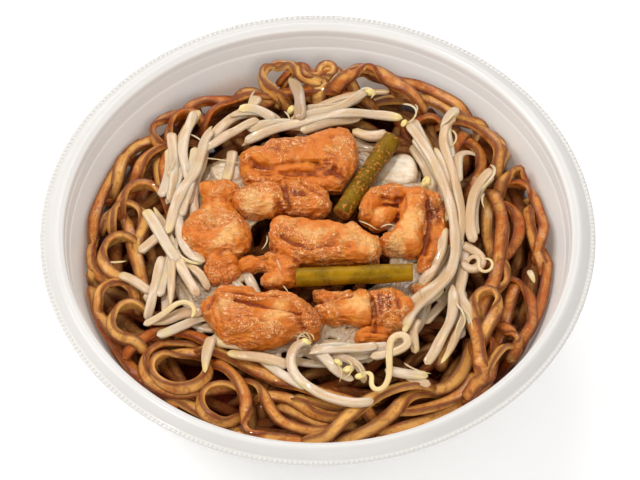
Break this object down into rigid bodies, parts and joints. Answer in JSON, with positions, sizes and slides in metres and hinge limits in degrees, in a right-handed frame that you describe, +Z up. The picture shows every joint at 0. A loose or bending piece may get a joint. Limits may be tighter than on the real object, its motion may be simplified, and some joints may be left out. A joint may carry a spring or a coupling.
{
  "type": "yakisoba",
  "caption": "Brown noodles in a round foamed-plastic bowl, topped with bean sprouts, orange marinated meat and green garlic stems.",
  "frame": {"origin": "on the table under the middle of the bowl, at the level of its foot ring", "axes": "+Z up along the bowl's axis; +Y away from the eater; +X to the eater's right"},
  "size_m": [0.19, 0.19, 0.0541],
  "materials": {
    "foam": "satin white foamed plastic",
    "noodle": "sauce-coated, glossy",
    "sprout": "wet, slightly translucent",
    "meat": "marinated, moist",
    "stem": "oiled, satin",
    "onion": "wet, slightly translucent"
  },
  "bodies": {
    "root": {"bowl": "foam", "noodles": "noodle", "bean_sprouts": "sprout", "meat_top": "meat", "meat_mid_left": "meat", "meat_left": "meat", "meat_centre": "meat", "meat_right": "meat", "meat_front_left": "meat", "meat_front": "meat", "meat_front_right": "meat", "meat_scrap": "meat", "stem_back": "stem", "stem_front": "stem", "onion_back": "onion", "onion_right": "onion"}
  },
  "joints": []
}
